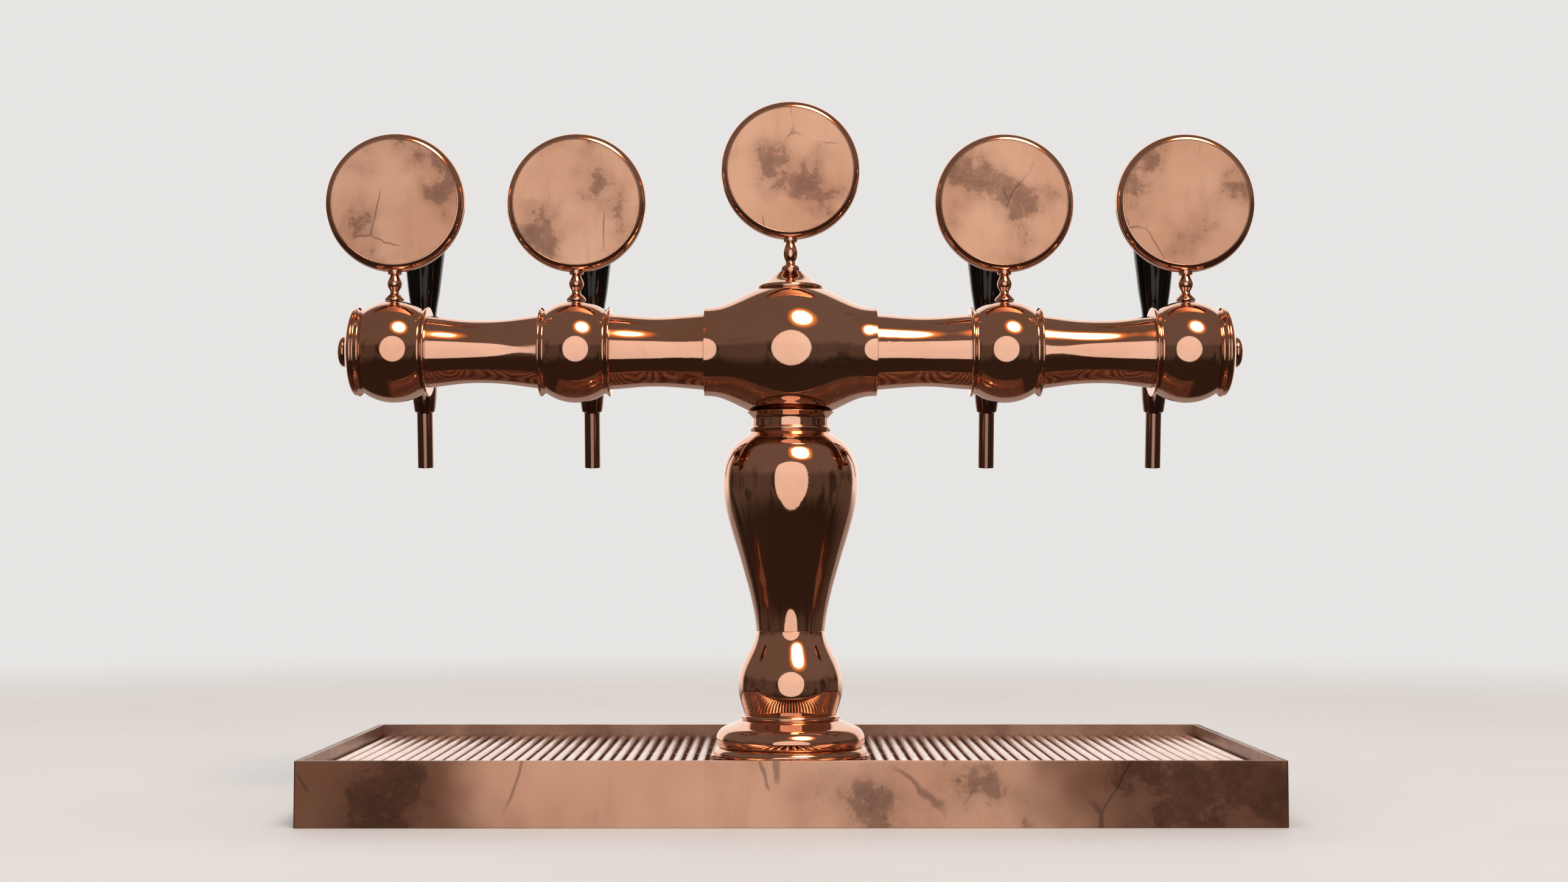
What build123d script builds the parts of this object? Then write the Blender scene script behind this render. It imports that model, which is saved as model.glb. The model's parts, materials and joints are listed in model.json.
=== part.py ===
"""Copper beer tap tower: four taps behind a horizontal bar on a turned column, over a drip tray.

The bar carries five round medallions on its front. The taps hang off its rear, over the tray.
Millimetres. Origin: centre of the tray's footprint on the counter. +X right, +Y to the rear, +Z up.
"""

import os
from math import cos, radians, sin, sqrt

from build123d import *

os.makedirs("parts", exist_ok=True)

# ---------------------------------------------------------------- driving dimensions
TRAY_WIDTH = 700.0
TRAY_DEPTH = 330.0
TRAY_HEIGHT = 47.0
SHEET = 1.5  # apron sheet
PAN_SHEET = 1.2
RIM_WIDTH = 5.0  # top rim, apron return plus pan wall

GRILLE_TOP = 38.5
ROD_RADIUS = 3.0
ROD_PITCH = 9.05
RODS_PER_SIDE = 38

COLUMN_Y = -55.0  # the column stands nearer the front, so that the spouts are over the tray
BAR_Z = 346.0  # axis of the horizontal bar
BALL_X = (-301.5, -163.2, 163.2, 301.5)
BALL_RADIUS = 38.8
HUB_HALF_LENGTH = 65.3
HUB_RADIUS = 53.2

MEDALLION_RADIUS = 53.3
FACE_RADIUS = 48.0
SIDE_MEDALLION_Z = 460.0
CENTRE_MEDALLION_Z = 485.0

TAP_REACH = 138.0  # bar axis to the lever's axis
SPOUT_TILT = 9.0  # degrees from vertical, leaning away from the bar
FIT = 0.05  # radial gap of screwed and running fits
CLEARANCE = 0.2  # radial gap of loose holes

# ---------------------------------------------------------------- helpers
UP = (0, 0, 1)
RIGHT = (1, 0, 0)
REAR = (0, 1, 0)
column_foot = (0, COLUMN_Y, 0)
bar_centre = (0, COLUMN_Y, BAR_Z)


def save(builder, name):
    """Labels a finished piece and writes its STEP file."""
    builder.part.label = name
    export_step(builder.part, f"parts/{name}.step")


def turned(origin, direction, *runs):
    """A solid turned about an axis, from a closed outline of (along, radius) pairs.

    A list is a smooth curve through its points, a tuple is a chain of straight lines.
    """
    radial = UP if abs(direction[0]) > 0.5 else RIGHT
    turning_plane = Plane(
        origin=origin, x_dir=direction, z_dir=Vector(direction).cross(Vector(radial))
    )
    with BuildPart() as piece:
        with BuildSketch(turning_plane):
            with BuildLine():
                for run in runs:
                    if isinstance(run, list):
                        Spline(*run)
                    else:
                        Polyline(*run)
            make_face()
        revolve(axis=Axis(origin, direction))
    return piece


def shell(origin, direction, points, bore, wall, end_wall):
    """A turned shell with a smooth outside, closed down to its bore at both ends."""
    low = points[0][0]
    high = points[-1][0]
    skin = [(s, r - wall) for s, r in points if low + end_wall <= s <= high - end_wall]
    return turned(
        origin,
        direction,
        points,
        (points[-1], (high, bore), (skin[-1][0], bore), skin[-1]),
        skin[::-1],
        (skin[0], (skin[0][0], bore), (low, bore), points[0]),
    )


def mirrored_profile(half):
    """Completes a profile given from its middle outwards, as (distance, radius) pairs."""
    return [(-s, r) for s, r in reversed(half[1:])] + half


def arc_points(radius, start, end, steps):
    """Points of a circle about the origin, between two distances along the axis."""
    stations = [start + (end - start) * k / steps for k in range(steps + 1)]
    return [(s, sqrt(max(radius**2 - s**2, 0.0))) for s in stations]


# ================================================================ drip tray
rim_return = RIM_WIDTH - PAN_SHEET
pan_outer_x = TRAY_WIDTH / 2 - rim_return
pan_outer_y = TRAY_DEPTH / 2 - rim_return
pan_inner_x = pan_outer_x - PAN_SHEET
pan_inner_y = pan_outer_y - PAN_SHEET

LEDGE_Z = 26.0  # the grille's rails rest here
LEDGE_WIDTH = 8.0
PAN_FLOOR = 15.2
FOOT_WIDTH = 14.0
APRON_CORNER = 0.8
well_x = pan_inner_x - LEDGE_WIDTH
well_y = pan_inner_y - LEDGE_WIDTH

PEDESTAL_RADIUS = 50.0
DRAIN_X = 285.0
DRAIN_Y = 112.0
DRAIN_THREAD_RADIUS = 9.0

# Outer copper apron: four walls, a narrow return at the rim and a foot flange at the counter.
with BuildPart() as tray_apron:
    with BuildSketch():
        Rectangle(TRAY_WIDTH, TRAY_DEPTH)
    extrude(amount=TRAY_HEIGHT)
    fillet(tray_apron.edges().filter_by(Axis.Z), APRON_CORNER)
    with BuildSketch():
        Rectangle(TRAY_WIDTH - 2 * FOOT_WIDTH, TRAY_DEPTH - 2 * FOOT_WIDTH)
    extrude(amount=SHEET, mode=Mode.SUBTRACT)
    with BuildSketch(Plane.XY.offset(SHEET)):
        Rectangle(TRAY_WIDTH - 2 * SHEET, TRAY_DEPTH - 2 * SHEET)
    extrude(amount=TRAY_HEIGHT - 2 * SHEET, mode=Mode.SUBTRACT)
    with BuildSketch(Plane.XY.offset(TRAY_HEIGHT - SHEET)):
        Rectangle(2 * pan_outer_x, 2 * pan_outer_y)
    extrude(amount=SHEET, mode=Mode.SUBTRACT)
save(tray_apron, "tray_apron")

# Inner pan, folded with a ledge all round that carries the grille.
with BuildPart() as drip_pan:
    with BuildSketch(Plane.XY.offset(LEDGE_Z - PAN_SHEET)):
        Rectangle(2 * pan_outer_x, 2 * pan_outer_y)
    extrude(amount=TRAY_HEIGHT - LEDGE_Z + PAN_SHEET)
    with BuildSketch(Plane.XY.offset(PAN_FLOOR - PAN_SHEET)):
        Rectangle(2 * (well_x + PAN_SHEET), 2 * (well_y + PAN_SHEET))
    extrude(amount=LEDGE_Z - PAN_FLOOR)
    with BuildSketch(Plane.XY.offset(LEDGE_Z)):
        Rectangle(2 * pan_inner_x, 2 * pan_inner_y)
    extrude(amount=TRAY_HEIGHT - LEDGE_Z, mode=Mode.SUBTRACT)
    with BuildSketch(Plane.XY.offset(PAN_FLOOR)):
        Rectangle(2 * well_x, 2 * well_y)
    extrude(amount=LEDGE_Z - PAN_FLOOR, mode=Mode.SUBTRACT)
    with BuildSketch(Plane.XY.offset(PAN_FLOOR - PAN_SHEET)):
        with Locations((0, COLUMN_Y)):
            Circle(PEDESTAL_RADIUS + CLEARANCE)
        with Locations((DRAIN_X, DRAIN_Y)):
            Circle(DRAIN_THREAD_RADIUS + CLEARANCE)
    extrude(amount=PAN_SHEET, mode=Mode.SUBTRACT)
save(drip_pan, "drip_pan")

# Drain: a flanged body through the pan floor, clamped by a nut, with a perforated strainer.
# Its thread steps down to a plain tail for the waste hose.
DRAIN_FLANGE_RADIUS = 20.0
DRAIN_BORE = 6.0
DRAIN_TAIL_RADIUS = 8.0
DRAIN_TAIL_END = 0.5
DRAIN_TAIL_LENGTH = 8.0
DRAIN_NUT_HEIGHT = 5.0
DRAIN_NUT_APOTHEM = 13.0
DRAIN_FLANGE_TOP = PAN_FLOOR + 2.0
STRAINER_RADIUS = 16.0
STRAINER_THICKNESS = 1.2
STRAINER_HOLE_RADIUS = 1.3
STRAINER_RINGS = ((4.5, 6), (9.0, 12))  # ring radius, holes in it
drain_tail_top = DRAIN_TAIL_END + DRAIN_TAIL_LENGTH
drain_body = turned(
    (DRAIN_X, DRAIN_Y, 0),
    UP,
    (
        (DRAIN_TAIL_END, DRAIN_BORE),
        (DRAIN_TAIL_END, DRAIN_TAIL_RADIUS),
        (drain_tail_top, DRAIN_TAIL_RADIUS),
        (drain_tail_top, DRAIN_THREAD_RADIUS),
        (PAN_FLOOR, DRAIN_THREAD_RADIUS),
        (PAN_FLOOR, DRAIN_FLANGE_RADIUS),
        (DRAIN_FLANGE_TOP, DRAIN_FLANGE_RADIUS),
        (DRAIN_FLANGE_TOP, DRAIN_BORE),
        (DRAIN_TAIL_END, DRAIN_BORE),
    ),
)
save(drain_body, "drain_body")

with BuildPart() as drain_nut:
    with BuildSketch(Plane.XY.offset(PAN_FLOOR - PAN_SHEET - DRAIN_NUT_HEIGHT)):
        with Locations((DRAIN_X, DRAIN_Y)):
            RegularPolygon(DRAIN_NUT_APOTHEM, 6, major_radius=False)
            Circle(DRAIN_THREAD_RADIUS + FIT, mode=Mode.SUBTRACT)
    extrude(amount=DRAIN_NUT_HEIGHT)
save(drain_nut, "drain_nut")

with BuildPart() as drain_strainer:
    with BuildSketch(Plane.XY.offset(DRAIN_FLANGE_TOP)):
        with Locations((DRAIN_X, DRAIN_Y)):
            Circle(STRAINER_RADIUS)
            for ring_radius, holes in STRAINER_RINGS:
                with PolarLocations(ring_radius, holes):
                    Circle(STRAINER_HOLE_RADIUS, mode=Mode.SUBTRACT)
    extrude(amount=STRAINER_THICKNESS)
save(drain_strainer, "drain_strainer")

# Grille: two lift-out panels of round rods welded across rails, notched round the column's foot.
NOTCH_RADIUS = 61.0
ROD_WELD = 0.8  # depth that the rods sink into the rails
RAIL_THICKNESS = 3.0
RAIL_YS = (-153.5, -108.0, 42.0, 98.0, 153.5)
PANEL_GAP = 0.6  # from each panel to the middle
ROD_END_GAP = 1.3
RAIL_END_GAP = 1.0
rod_z = GRILLE_TOP - ROD_RADIUS
rail_top = rod_z - ROD_RADIUS + ROD_WELD
rod_end = pan_inner_y - ROD_END_GAP
rail_end = pan_inner_x - RAIL_END_GAP

for side, name in ((-1, "grille_left"), (1, "grille_right")):
    rod_xs = [side * ROD_PITCH * (k + 0.5) for k in range(RODS_PER_SIDE)]
    full_rods = [x for x in rod_xs if abs(x) - ROD_RADIUS >= NOTCH_RADIUS]
    cut_rods = [x for x in rod_xs if abs(x) - ROD_RADIUS < NOTCH_RADIUS]
    with BuildPart() as grille:
        with BuildSketch(Plane.XY.offset(LEDGE_Z)):
            with Locations([(side * (PANEL_GAP + rail_end) / 2, y) for y in RAIL_YS]):
                Rectangle(rail_end - PANEL_GAP, RAIL_THICKNESS)
            with Locations((0, COLUMN_Y)):
                Circle(NOTCH_RADIUS + RAIL_THICKNESS)
            with Locations((side * (PANEL_GAP - TRAY_WIDTH / 2), 0)):
                Rectangle(TRAY_WIDTH, TRAY_DEPTH, mode=Mode.SUBTRACT)
            with Locations((0, COLUMN_Y)):
                Circle(NOTCH_RADIUS, mode=Mode.SUBTRACT)
        extrude(amount=rail_top - LEDGE_Z)
        with BuildSketch(Plane.XZ.offset(rod_end)):
            with Locations([(x, rod_z) for x in full_rods]):
                Circle(ROD_RADIUS)
        extrude(amount=-2 * rod_end)
        for x in cut_rods:
            reach = sqrt(NOTCH_RADIUS**2 - max(abs(x) - ROD_RADIUS, 0.0) ** 2)
            with BuildSketch(Plane.XZ.offset(rod_end)):
                with Locations((x, rod_z)):
                    Circle(ROD_RADIUS)
            extrude(amount=-(COLUMN_Y - reach + rod_end))
            with BuildSketch(Plane.XZ.offset(-rod_end)):
                with Locations((x, rod_z)):
                    Circle(ROD_RADIUS)
            extrude(amount=rod_end - COLUMN_Y - reach)
    save(grille, name)

# ================================================================ column
PEDESTAL_BORE = 30.0
PEDESTAL_SHOULDER = 56.0
CORE_RADIUS = 20.0
CORE_WALL = 2.5
CORE_TOP = 306.0
BASE_BOTTOM = GRILLE_TOP
BASE_TOP = 47.5
SCREW_CIRCLE = 40.0
SCREW_RADIUS = 3.0
SCREW_HEAD_RADIUS = 5.0
SCREW_HEAD_TOP = 8.0
SCREW_HEAD_HEIGHT = 6.0
SCREW_SOCKET_APOTHEM = 2.5
SCREW_SOCKET_DEPTH = 3.5
SCREW_TIP = 45.0
SCREW_ANGLE = 45  # degrees, the first of four screws
FIXING_COUNT = 4
FIXING_CIRCLE = 44.0
FIXING_RADIUS = 4.0
FIXING_DEPTH = 12.0
pan_underside = PAN_FLOOR - PAN_SHEET
GASKET_HEIGHT = 2.0

with BuildPart() as pedestal:
    with BuildSketch():
        with Locations((0, COLUMN_Y)):
            Circle(PEDESTAL_SHOULDER)
    extrude(amount=pan_underside)
    with BuildSketch():
        with Locations((0, COLUMN_Y)):
            Circle(PEDESTAL_RADIUS)
    extrude(amount=BASE_BOTTOM)
    with BuildSketch():
        with Locations((0, COLUMN_Y)):
            Circle(PEDESTAL_BORE)
    extrude(amount=BASE_BOTTOM, mode=Mode.SUBTRACT)
    with BuildSketch():
        with Locations((0, COLUMN_Y)):
            with PolarLocations(FIXING_CIRCLE, FIXING_COUNT):
                Circle(FIXING_RADIUS)
    extrude(amount=FIXING_DEPTH, mode=Mode.SUBTRACT)
    with BuildSketch():
        with Locations((0, COLUMN_Y)):
            with PolarLocations(SCREW_CIRCLE, FIXING_COUNT, start_angle=SCREW_ANGLE):
                Circle(SCREW_HEAD_RADIUS + CLEARANCE)
    extrude(amount=SCREW_HEAD_TOP, mode=Mode.SUBTRACT)
    with BuildSketch():
        with Locations((0, COLUMN_Y)):
            with PolarLocations(SCREW_CIRCLE, FIXING_COUNT, start_angle=SCREW_ANGLE):
                Circle(SCREW_RADIUS + CLEARANCE)
    extrude(amount=BASE_BOTTOM, mode=Mode.SUBTRACT)
save(pedestal, "pedestal")

gasket_top = PAN_FLOOR + GASKET_HEIGHT
pedestal_gasket = turned(
    column_foot,
    UP,
    (
        (PAN_FLOOR, PEDESTAL_RADIUS),
        (PAN_FLOOR, PEDESTAL_SHOULDER),
        (gasket_top, PEDESTAL_SHOULDER),
        (gasket_top, PEDESTAL_RADIUS),
        (PAN_FLOOR, PEDESTAL_RADIUS),
    ),
)
save(pedestal_gasket, "pedestal_gasket")

with BuildPart() as base_screws:
    with BuildSketch(Plane.XY.offset(SCREW_HEAD_TOP - SCREW_HEAD_HEIGHT)):
        with Locations((0, COLUMN_Y)):
            with PolarLocations(SCREW_CIRCLE, FIXING_COUNT, start_angle=SCREW_ANGLE):
                Circle(SCREW_HEAD_RADIUS)
                RegularPolygon(SCREW_SOCKET_APOTHEM, 6, major_radius=False, mode=Mode.SUBTRACT)
    extrude(amount=SCREW_SOCKET_DEPTH)
    with BuildSketch(Plane.XY.offset(SCREW_HEAD_TOP - SCREW_HEAD_HEIGHT + SCREW_SOCKET_DEPTH)):
        with Locations((0, COLUMN_Y)):
            with PolarLocations(SCREW_CIRCLE, FIXING_COUNT, start_angle=SCREW_ANGLE):
                Circle(SCREW_HEAD_RADIUS)
    extrude(amount=SCREW_HEAD_HEIGHT - SCREW_SOCKET_DEPTH)
    with BuildSketch(Plane.XY.offset(SCREW_HEAD_TOP)):
        with Locations((0, COLUMN_Y)):
            with PolarLocations(SCREW_CIRCLE, FIXING_COUNT, start_angle=SCREW_ANGLE):
                Circle(SCREW_RADIUS)
    extrude(amount=SCREW_TIP - SCREW_HEAD_TOP)
save(base_screws, "base_screws")

# Thin round-edged flange that the column stands on.
BASE_RADIUS = 58.0
base_bead = (BASE_TOP - BASE_BOTTOM) / 2
base_middle = BASE_BOTTOM + base_bead
core_bore = CORE_RADIUS - CORE_WALL
flange_blank = turned(
    column_foot,
    UP,
    ((BASE_TOP, BASE_RADIUS - base_bead), (BASE_TOP, core_bore), (BASE_BOTTOM, core_bore),
     (BASE_BOTTOM, BASE_RADIUS - base_bead)),
    [(BASE_BOTTOM, BASE_RADIUS - base_bead), (base_middle - 3.2, BASE_RADIUS - 1.35),
     (base_middle, BASE_RADIUS), (base_middle + 3.2, BASE_RADIUS - 1.35),
     (BASE_TOP, BASE_RADIUS - base_bead)],
)
with BuildPart() as base_flange:
    add(flange_blank.part)
    with BuildSketch(Plane.XY.offset(BASE_BOTTOM)):
        with Locations((0, COLUMN_Y)):
            with PolarLocations(SCREW_CIRCLE, FIXING_COUNT, start_angle=SCREW_ANGLE):
                Circle(SCREW_RADIUS + FIT)
    extrude(amount=SCREW_TIP + 0.5 - BASE_BOTTOM, mode=Mode.SUBTRACT)
save(base_flange, "base_flange")

core_fit = CORE_RADIUS + FIT
core_tube = turned(
    column_foot,
    UP,
    ((BASE_TOP, core_bore), (BASE_TOP, CORE_RADIUS), (CORE_TOP, CORE_RADIUS),
     (CORE_TOP, core_bore), (BASE_TOP, core_bore)),
)
save(core_tube, "core_tube")

# Turned shells stacked on the core tube: bell, bulb and vase, as (height, radius).
BELL_TOP = 71.8
WAIST_Z = 134.5
VASE_TOP = 285.0
base_bell = turned(
    column_foot,
    UP,
    [(BASE_TOP, 53.4), (49.8, 55.2), (53.5, 56.1), (57.5, 55.0), (61.0, 52.4), (64.0, 46.6),
     (66.2, 41.0), (67.6, 38.0)],
    ((67.6, 38.0), (68.0, 36.0)),
    [(68.0, 36.0), (68.8, 36.8), (69.9, 37.1), (71.0, 36.8), (BELL_TOP, 35.8)],
    ((BELL_TOP, 35.8), (BELL_TOP, core_fit), (65.0, core_fit), (61.0, 40.0), (55.0, 50.0),
     (BASE_TOP, 50.0), (BASE_TOP, 53.4)),
)
save(base_bell, "base_bell")

column_bulb = shell(
    column_foot,
    UP,
    [(BELL_TOP, 34.4), (75.5, 35.6), (80.0, 37.1), (87.0, 39.0), (94.0, 39.5), (100.0, 39.0),
     (106.0, 37.4), (112.0, 34.9), (118.0, 31.9), (124.5, 28.6), (129.0, 26.9), (WAIST_Z, 25.9)],
    core_fit,
    3.2,
    8.0,
)
save(column_bulb, "column_bulb")

column_vase = shell(
    column_foot,
    UP,
    [(WAIST_Z, 25.9), (142.0, 26.7), (150.0, 27.9), (160.0, 30.1), (170.0, 32.6), (180.0, 35.5),
     (190.0, 38.4), (200.0, 41.5), (210.0, 44.6), (220.0, 47.5), (230.0, 49.8), (238.0, 51.0),
     (246.0, 51.4), (254.0, 51.0), (262.0, 49.4), (268.0, 46.9), (273.0, 44.0), (277.5, 39.6),
     (280.5, 35.6), (282.5, 32.4), (VASE_TOP, 29.8)],
    core_fit,
    3.5,
    7.0,
)
save(column_vase, "column_vase")

# Neck collar: a flared cup that the hub's spigot screws into.
SPIGOT_RADIUS = 27.5
SPIGOT_BOTTOM = 289.0
cup_floor = SPIGOT_BOTTOM - 0.5
cup_fit = SPIGOT_RADIUS + FIT
neck_collar = turned(
    column_foot,
    UP,
    [(VASE_TOP, 29.6), (285.9, 30.5), (287.0, 30.8), (288.1, 30.4), (288.8, 29.1)],
    ((288.8, 29.1), (294.0, 28.9)),
    [(294.0, 28.9), (296.6, 29.7), (298.6, 31.6), (299.8, 33.0)],
    ((299.8, 33.0), (300.3, 32.7), (300.3, 32.0), (299.2, 30.5), (297.5, cup_fit),
     (cup_floor, cup_fit), (cup_floor, core_fit), (VASE_TOP, core_fit), (VASE_TOP, 29.6)),
)
save(neck_collar, "neck_collar")

# ================================================================ horizontal bar
BAR_TUBE_RADIUS = 17.0
BAR_TUBE_BORE = 15.0
BAR_TUBE_START = 50.0
tube_fit = BAR_TUBE_RADIUS + FIT
BALL_HALF = 27.0
BALL_WALL = 4.2
CAP_LENGTH = 8.8
bar_tube_end = BALL_X[3] + BALL_HALF + 3.0
SHANK_RADIUS = 8.0
SHANK_TAIL_Y = COLUMN_Y + 3.0
STUD_RADIUS = 3.0
CENTRE_STUD_RADIUS = 4.0

hub_half = [(0.0, HUB_RADIUS), (10.0, 52.3), (21.0, 49.4), (32.0, 44.8), (39.5, 41.1), (47.0, 37.5),
            (54.0, 34.9), (60.0, 33.8), (HUB_HALF_LENGTH, 33.6)]
hub_shell = shell(bar_centre, RIGHT, mirrored_profile(hub_half), tube_fit, 4.5, 9.0)
with BuildPart() as hub:
    add(hub_shell.part)
    with BuildSketch(Plane.XY.offset(SPIGOT_BOTTOM)):
        with Locations((0, COLUMN_Y)):
            Circle(SPIGOT_RADIUS)
    extrude(amount=14.0)
    with BuildSketch(Plane.XY.offset(SPIGOT_BOTTOM)):
        with Locations((0, COLUMN_Y)):
            Circle(core_fit)
    extrude(amount=18.0, mode=Mode.SUBTRACT)
    with BuildSketch(Plane.XY.offset(BAR_Z + 40.0)):
        with Locations((0, COLUMN_Y)):
            Circle(CENTRE_STUD_RADIUS + FIT)
    extrude(amount=20.0, mode=Mode.SUBTRACT)
save(hub, "hub")

# Conical cap over the hub, with a round bead for a rim; its underside is cut to the hub's curve.
CAP_TOP = 407.2
CAP_BOTTOM = 389.0
stud_fit = CENTRE_STUD_RADIUS + FIT
cap_blank = turned(
    column_foot,
    UP,
    ((CAP_BOTTOM, stud_fit), (CAP_BOTTOM, 24.0), (392.6, 24.0)),
    [(392.6, 24.0), (393.6, 24.9), (394.9, 25.2), (396.2, 24.7), (397.0, 23.3)],
    [(397.0, 23.3), (398.3, 20.8), (401.0, 16.6), (404.0, 13.0), (406.4, 10.4), (CAP_TOP, 9.6)],
    ((CAP_TOP, 9.6), (CAP_TOP, stud_fit), (CAP_BOTTOM, stud_fit)),
)
hub_envelope = turned(
    bar_centre,
    RIGHT,
    [(s, r + FIT) for s, r in mirrored_profile(hub_half)],
    ((HUB_HALF_LENGTH, hub_half[-1][1] + FIT), (HUB_HALF_LENGTH, 0.0), (-HUB_HALF_LENGTH, 0.0),
     (-HUB_HALF_LENGTH, hub_half[-1][1] + FIT)),
)
with BuildPart() as hub_cap:
    add(cap_blank.part)
    add(hub_envelope.part, mode=Mode.SUBTRACT)
save(hub_cap, "hub_cap")

# Inner tubes of the bar, with a hole at the rear for each tap's shank.
with BuildPart() as bar_tubes:
    for side in (-1, 1):
        with BuildSketch(Plane.YZ.offset(side * BAR_TUBE_START)):
            with Locations((COLUMN_Y, BAR_Z)):
                Circle(BAR_TUBE_RADIUS)
                Circle(BAR_TUBE_BORE, mode=Mode.SUBTRACT)
        extrude(amount=side * (bar_tube_end - BAR_TUBE_START))
    with BuildSketch(Plane.XZ.offset(-COLUMN_Y)):
        with Locations([(x, BAR_Z) for x in BALL_X]):
            Circle(SHANK_RADIUS + 0.4)
    extrude(amount=-(BAR_TUBE_RADIUS + 1.0), mode=Mode.SUBTRACT)
save(bar_tubes, "bar_tubes")

inner_arm = [(HUB_HALF_LENGTH, 29.0), (74.0, 28.2), (88.0, 27.0), (102.0, 26.4), (115.0, 26.9),
             (126.0, 27.9), (BALL_X[2] - BALL_HALF, 28.6)]
outer_arm = [(BALL_X[2] + BALL_HALF, 28.2), (200.0, 26.8), (217.0, 24.6), (235.5, 23.8),
             (250.0, 24.4), (263.0, 26.0), (BALL_X[3] - BALL_HALF, 27.3)]
for profile, place in ((inner_arm, "inner"), (outer_arm, "outer")):
    flipped = [(-s, r) for s, r in reversed(profile)]
    save(shell(bar_centre, RIGHT, flipped, tube_fit, 3.5, 7.0), f"arm_{place}_left")
    save(shell(bar_centre, RIGHT, profile, tube_fit, 3.5, 7.0), f"arm_{place}_right")

# Ball housings: a hollow ball that flares into a rim at each end, with a rear boss for the shank.
BALL_EDGE = 20.2
BOSS_RADIUS = 14.0
BOSS_FRONT = COLUMN_Y + 28.0
BOSS_REAR = -12.0
BALL_SOCKET = 20.0  # the tube's socket runs from each end to this far from the middle
ball_outside = arc_points(BALL_RADIUS, -BALL_EDGE, BALL_EDGE, 12)
ball_inside = arc_points(BALL_RADIUS - BALL_WALL, -BALL_SOCKET, BALL_SOCKET, 12)
right_rim = [ball_outside[-1], (21.2, 32.4), (22.2, 31.9), (23.1, 31.9), (24.0, 32.5), (24.9, 33.5),
             (25.7, 34.0), (26.5, 33.9), (BALL_HALF, 33.3)]
left_rim = [(-s, r) for s, r in reversed(right_rim)]
for number, x in enumerate(BALL_X, start=1):
    ball_blank = turned(
        (x, COLUMN_Y, BAR_Z),
        RIGHT,
        ((-BALL_HALF, tube_fit), left_rim[0]),
        left_rim,
        ball_outside,
        right_rim,
        (right_rim[-1], (BALL_HALF, tube_fit), (BALL_SOCKET, tube_fit), ball_inside[-1]),
        ball_inside[::-1],
        (ball_inside[0], (-BALL_SOCKET, tube_fit), (-BALL_HALF, tube_fit)),
    )
    with BuildPart() as ball:
        add(ball_blank.part)
        with BuildSketch(Plane.XZ.offset(-BOSS_FRONT)):
            with Locations((x, BAR_Z)):
                Circle(BOSS_RADIUS)
        extrude(amount=-(BOSS_REAR - BOSS_FRONT))
        with BuildSketch(Plane.XZ.offset(-BOSS_FRONT)):
            with Locations((x, BAR_Z)):
                Circle(SHANK_RADIUS + FIT)
        extrude(amount=-(BOSS_REAR - BOSS_FRONT), mode=Mode.SUBTRACT)
        with BuildSketch(Plane.XY.offset(BAR_Z + BALL_RADIUS - 8.0)):
            with Locations((x, COLUMN_Y)):
                Circle(STUD_RADIUS + FIT)
        extrude(amount=10.0, mode=Mode.SUBTRACT)
    save(ball, f"tap_ball_{number}")

# End caps: a shallow dome with a rounded shoulder, held by a domed button.
END_STUD_RADIUS = 4.0
cap_start = BALL_X[3] + BALL_HALF
cap_middle = CAP_LENGTH + 0.2
end_stud_fit = END_STUD_RADIUS + FIT
for side, place in ((-1, "left"), (1, "right")):
    end_cap = turned(
        (side * cap_start, COLUMN_Y, BAR_Z),
        (side, 0, 0),
        ((0.0, tube_fit), (0.0, 32.4)),
        [(0.0, 32.4), (0.7, 33.2), (1.7, 33.2), (2.9, 32.3), (4.4, 29.7), (6.0, 25.0), (7.2, 19.6),
         (8.1, 14.6), (CAP_LENGTH, 9.0), (cap_middle, end_stud_fit)],
        ((cap_middle, end_stud_fit), (3.4, end_stud_fit), (3.4, tube_fit), (0.0, tube_fit)),
    )
    save(end_cap, f"end_cap_{place}")

with BuildPart() as end_buttons:
    for side in (-1, 1):
        button = turned(
            (side * (cap_start + CAP_LENGTH), COLUMN_Y, BAR_Z),
            (side, 0, 0),
            ((0.4, END_STUD_RADIUS), (0.4, 10.8)),
            [(0.4, 10.8), (0.9, 11.5), (2.0, 11.7), (4.0, 10.8), (5.8, 7.8), (6.4, 0.0)],
            ((6.4, 0.0), (-5.4, 0.0), (-5.4, END_STUD_RADIUS), (0.4, END_STUD_RADIUS)),
        )
        add(button.part)
save(end_buttons, "end_buttons")

# ================================================================ medallions
MEDALLION_CENTRES = (
    (BALL_X[0], SIDE_MEDALLION_Z),
    (BALL_X[1], SIDE_MEDALLION_Z),
    (0.0, CENTRE_MEDALLION_Z),
    (BALL_X[2], SIDE_MEDALLION_Z),
    (BALL_X[3], SIDE_MEDALLION_Z),
)
MEDALLION_FRONT = -8.0  # inner edge of the rim, which slopes back from there
MEDALLION_BACK = 7.0
FACE_FRONT = -7.3
FACE_THICKNESS = 2.0
STEM_COLLAR_RADIUS = 5.4
STEM_COLLAR_DEPTH = 2.4  # how far the stem's collar is let into the medallion's rim
MEDALLION_STUD_RADIUS = 2.5
face_back = FACE_FRONT + FACE_THICKNESS
face_seat = FACE_RADIUS + FIT

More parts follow.
